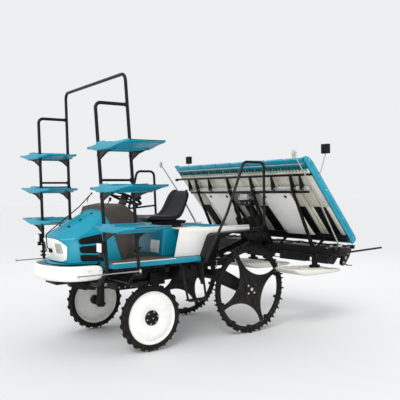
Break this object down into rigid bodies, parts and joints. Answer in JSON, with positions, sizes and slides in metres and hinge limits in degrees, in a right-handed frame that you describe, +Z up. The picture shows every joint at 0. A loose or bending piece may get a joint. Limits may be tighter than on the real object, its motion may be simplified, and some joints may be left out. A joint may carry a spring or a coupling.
{
  "type": "riding rice transplanter",
  "caption": "Four-wheel riding rice transplanter with seedling racks, steered front wheels and a planting unit with a shuttling tray carried on a rear lift linkage.",
  "frame": {"origin": "on the ground under the middle of the machine's length and width", "axes": "+Z up, the machine faces -Y, its left side is +X"},
  "size_m": [2.7256, 3.4863, 2.6599],
  "materials": {
    "teal_plastic": "satin",
    "white_plastic": "satin",
    "black_paint": "satin",
    "dark_plastic": "matte",
    "rubber": "matte",
    "white_rim": "gloss",
    "cast_iron": "rough painted",
    "bare_steel": "brushed"
  },
  "bodies": {
    "chassis": {"chassis_frame": "black_paint", "engine_block": "cast_iron", "front_axle": "cast_iron", "rear_axle": "cast_iron", "hood": "teal_plastic", "front_panel": "white_plastic", "front_bumper": "white_plastic", "console": "dark_plastic", "floor_deck": "teal_plastic", "seat_base": "teal_plastic", "seat": "dark_plastic", "rear_cover_left": "white_plastic", "rear_cover_right": "white_plastic", "rear_deck": "teal_plastic", "mudguard_left": "black_paint", "mudguard_right": "black_paint", "handrail_left": "black_paint", "handrail_right": "black_paint", "step_left": "black_paint", "step_right": "black_paint", "rack_rear_hoop": "black_paint", "rack_front_frame": "black_paint", "shelf_low_left": "teal_plastic", "shelf_low_right": "teal_plastic", "shelf_middle_left": "teal_plastic", "shelf_middle_right": "teal_plastic", "shelf_top_left": "teal_plastic", "shelf_top_right": "teal_plastic"},
    "steering_wheel": {"steering_wheel": "dark_plastic"},
    "centre_marker": {"centre_marker": "black_paint"},
    "knuckle_left": {"knuckle_left": "cast_iron"},
    "front_wheel_left": {"front_tyre_left": "rubber", "front_rim_left": "white_rim"},
    "rear_wheel_left": {"rear_wheel_left": "black_paint"},
    "side_marker_left": {"side_marker_left": "white_plastic"},
    "knuckle_right": {"knuckle_right": "cast_iron"},
    "front_wheel_right": {"front_tyre_right": "rubber", "front_rim_right": "white_rim"},
    "rear_wheel_right": {"rear_wheel_right": "black_paint"},
    "side_marker_right": {"side_marker_right": "white_plastic"},
    "lower_link": {"lower_link": "black_paint"},
    "top_link": {"top_link": "black_paint"},
    "lift_cylinder": {"lift_cylinder": "black_paint"},
    "cylinder_rod": {"cylinder_rod": "bare_steel"},
    "planting_unit": {"planter_beam": "black_paint", "hitch_frame": "black_paint", "tray_frame": "black_paint", "planter_cover_left": "white_plastic", "planter_cover_right": "white_plastic", "float_left": "white_plastic", "float_centre": "white_plastic", "float_right": "white_plastic"},
    "tray": {"seedling_tray": "teal_plastic"},
    "rotor_1": {"planting_rotor_1": "cast_iron"},
    "rotor_2": {"planting_rotor_2": "cast_iron"},
    "rotor_3": {"planting_rotor_3": "cast_iron"},
    "rotor_4": {"planting_rotor_4": "cast_iron"},
    "line_marker_left": {"line_marker_left": "bare_steel"},
    "line_marker_right": {"line_marker_right": "bare_steel"}
  },
  "joints": [
    {"name": "steer_left", "type": "hinge", "parent": "chassis", "child": "knuckle_left", "pos_m": [0.47, -0.857, 0.62], "axis": [0, 0, 1], "range_deg": [-40, 40]},
    {"name": "steer_right", "type": "hinge", "parent": "chassis", "child": "knuckle_right", "pos_m": [-0.47, -0.857, 0.62], "axis": [0, 0, 1], "range_deg": [-40, 40]},
    {"name": "steering_wheel_turn", "type": "hinge", "parent": "chassis", "child": "steering_wheel", "pos_m": [0, -0.797, 1.47], "axis": [0, 0.4067, 0.9135], "range_deg": [-480, 480]},
    {"name": "front_wheel_left_spin", "type": "hinge", "parent": "knuckle_left", "child": "front_wheel_left", "pos_m": [0.625, -0.857, 0.325], "axis": [1, 0, 0], "continuous": true},
    {"name": "rear_wheel_left_spin", "type": "hinge", "parent": "chassis", "child": "rear_wheel_left", "pos_m": [0.625, 0.388, 0.475], "axis": [1, 0, 0], "continuous": true},
    {"name": "side_marker_left_swing", "type": "hinge", "parent": "chassis", "child": "side_marker_left", "pos_m": [0.822, -1.073, 0.815], "axis": [0, 0, 1], "range_deg": [0, 95]},
    {"name": "front_wheel_right_spin", "type": "hinge", "parent": "knuckle_right", "child": "front_wheel_right", "pos_m": [-0.625, -0.857, 0.325], "axis": [1, 0, 0], "continuous": true},
    {"name": "rear_wheel_right_spin", "type": "hinge", "parent": "chassis", "child": "rear_wheel_right", "pos_m": [-0.625, 0.388, 0.475], "axis": [1, 0, 0], "continuous": true},
    {"name": "side_marker_right_swing", "type": "hinge", "parent": "chassis", "child": "side_marker_right", "pos_m": [-0.822, -1.073, 0.815], "axis": [0, 0, -1], "range_deg": [0, 95]},
    {"name": "centre_marker_fold", "type": "hinge", "parent": "chassis", "child": "centre_marker", "pos_m": [0, -1.609, 0.9873], "axis": [1, 0, 0], "range_deg": [0, 50]},
    {"name": "lift", "type": "hinge", "parent": "chassis", "child": "lower_link", "pos_m": [0, 0.393, 0.74], "axis": [-1, 0, 0], "range_deg": [0, 42]},
    {"name": "top_link_follow", "type": "hinge", "parent": "chassis", "child": "top_link", "pos_m": [0, 0.393, 0.98], "axis": [-1, 0, 0], "range_deg": [-1, 43]},
    {"name": "planter_level", "type": "hinge", "parent": "lower_link", "child": "planting_unit", "pos_m": [0, 1.003, 0.95], "axis": [-1, 0, 0], "range_deg": [-43, 1]},
    {"name": "cylinder_swing", "type": "hinge", "parent": "chassis", "child": "lift_cylinder", "pos_m": [0, -0.117, 0.87], "axis": [-1, 0, 0], "range_deg": [-3, 6]},
    {"name": "cylinder_stroke", "type": "slide", "parent": "lift_cylinder", "child": "cylinder_rod", "axis": [0, 0.9994, 0.0333], "range_m": [-0.002, 0.1155]},
    {"name": "tray_shuttle", "type": "slide", "parent": "planting_unit", "child": "tray", "axis": [1, 0, 0], "range_m": [-0.13, 0.13]},
    {"name": "rotor_1_spin", "type": "hinge", "parent": "planting_unit", "child": "rotor_1", "pos_m": [-0.9, 1.523, 0.79], "axis": [1, 0, 0], "continuous": true},
    {"name": "rotor_2_spin", "type": "hinge", "parent": "planting_unit", "child": "rotor_2", "pos_m": [-0.3, 1.523, 0.79], "axis": [1, 0, 0], "continuous": true},
    {"name": "rotor_3_spin", "type": "hinge", "parent": "planting_unit", "child": "rotor_3", "pos_m": [0.3, 1.523, 0.79], "axis": [1, 0, 0], "continuous": true},
    {"name": "rotor_4_spin", "type": "hinge", "parent": "planting_unit", "child": "rotor_4", "pos_m": [0.9, 1.523, 0.79], "axis": [1, 0, 0], "continuous": true},
    {"name": "line_marker_left_fold", "type": "hinge", "parent": "planting_unit", "child": "line_marker_left", "pos_m": [1.275, 1.093, 0.94], "axis": [0, 1, 0], "range_deg": [0, 92]},
    {"name": "line_marker_right_fold", "type": "hinge", "parent": "planting_unit", "child": "line_marker_right", "pos_m": [-1.275, 1.093, 0.94], "axis": [0, -1, 0], "range_deg": [0, 92]}
  ],
  "couplings": [
    {"joint": "steer_right", "follows": "steer_left", "ratio": 1},
    {"joint": "steering_wheel_turn", "follows": "steer_left", "ratio": 12},
    {"joint": "top_link_follow", "follows": "lift", "ratio": 1},
    {"joint": "planter_level", "follows": "lift", "ratio": -1},
    {"joint": "cylinder_swing", "follows": "lift", "ratio": 0.00204},
    {"joint": "cylinder_stroke", "follows": "lift", "m_per_rad": 0.15343},
    {"joint": "rotor_2_spin", "follows": "rotor_1_spin", "ratio": 1},
    {"joint": "rotor_3_spin", "follows": "rotor_1_spin", "ratio": 1},
    {"joint": "rotor_4_spin", "follows": "rotor_1_spin", "ratio": 1}
  ]
}
